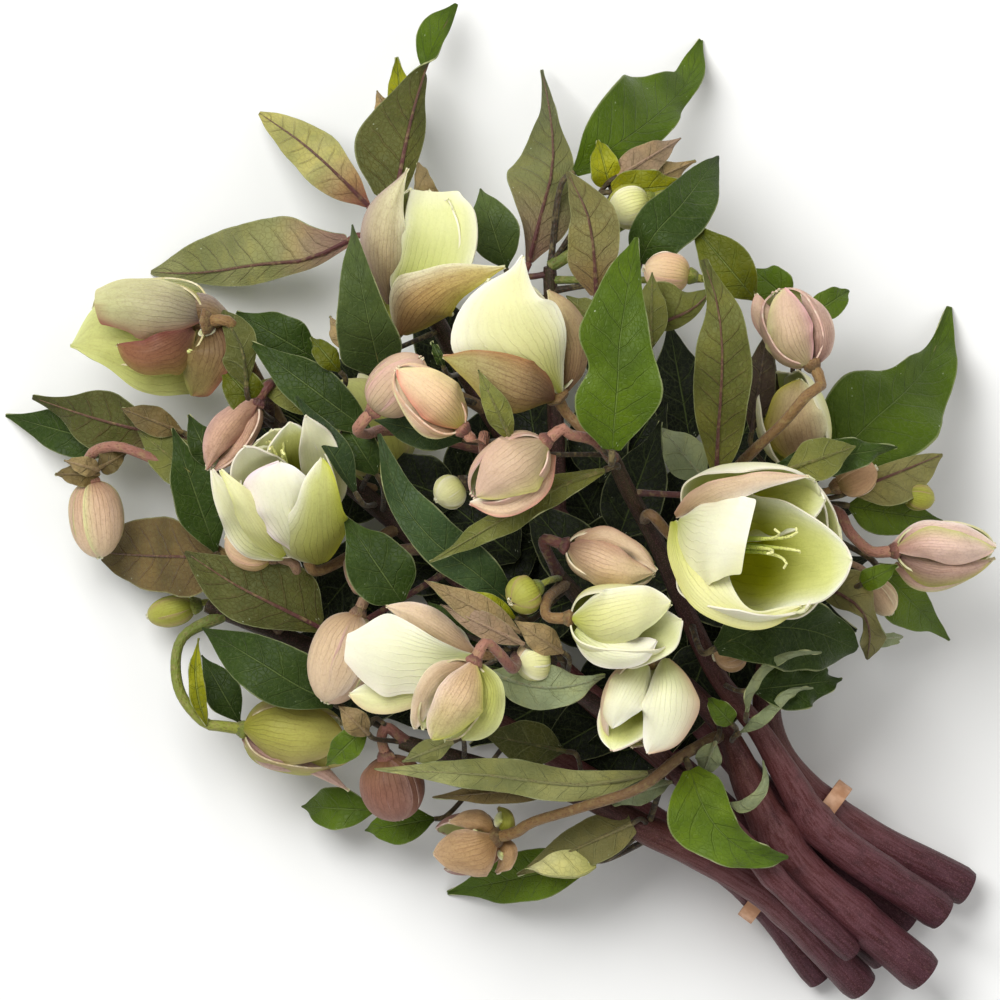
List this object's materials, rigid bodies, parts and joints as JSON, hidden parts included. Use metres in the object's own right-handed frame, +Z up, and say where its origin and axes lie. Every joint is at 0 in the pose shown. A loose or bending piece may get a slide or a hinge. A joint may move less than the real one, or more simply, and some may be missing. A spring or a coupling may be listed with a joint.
{
  "type": "hellebore flower bunch",
  "caption": "Tied bunch of cut hellebore stems lying on its side, with open bells, closed buds, folded leaves and a round elastic band.",
  "frame": {"origin": "on the surface that the bunch lies on, under the middle of its bounding box", "axes": "+X along the bunch from the flower heads towards the cut ends, +Y across the bunch, +Z up"},
  "size_m": [0.3299, 0.2531, 0.1285],
  "materials": {
    "stem": "satin",
    "band": "matte",
    "sepal": "satin",
    "bud": "satin",
    "leaf": "satin"
  },
  "bodies": {
    "root": {"bud_centre": "bud", "bud_far_right": "bud", "bud_left": "bud", "bud_lilac": "bud", "bud_low": "bud", "bud_middle": "bud", "bud_outer_left": "bud", "bud_peach": "bud", "bud_round": "bud", "bud_small_left": "bud", "bud_small_middle": "bud", "bud_upper_pair": "bud", "elastic_band": "band", "flower_behind": "sepal", "flower_bottom": "sepal", "flower_cream": "sepal", "flower_far_left": "sepal", "flower_left": "sepal", "flower_low_left": "sepal", "flower_lower": "sepal", "flower_nodding": "sepal", "flower_open": "sepal", "flower_right": "sepal", "flower_top_left": "sepal", "flower_top_middle": "sepal", "flower_tulip": "sepal", "flower_under": "sepal", "leaf_big_centre": "leaf", "leaf_big_right": "leaf", "leaf_blue_long": "leaf", "leaf_bottom": "leaf", "leaf_broad_left": "leaf", "leaf_brown_back": "leaf", "leaf_brown_left": "leaf", "leaf_curled": "leaf", "leaf_dark_left": "leaf", "leaf_dark_top": "leaf", "leaf_far_left": "leaf", "leaf_lance": "leaf", "leaf_long_olive": "leaf", "leaf_low_left": "leaf", "leaf_outer_left": "leaf", "leaf_over_stems": "leaf", "leaf_right_bright": "leaf", "leaf_right_upper": "leaf", "leaf_top_left": "leaf", "leaf_top_middle": "leaf", "leaf_top_red_rib": "leaf", "leaf_top_right": "leaf", "leaf_top_tall": "leaf", "leaf_wavy_dark": "leaf", "leaf_wavy_low": "leaf", "stem_front": "stem", "stem_left": "stem", "stem_low": "stem", "stem_rear_left": "stem", "stem_rear_top": "stem", "stem_right": "stem", "stem_thin": "stem", "stem_upper": "stem"}
  },
  "joints": []
}
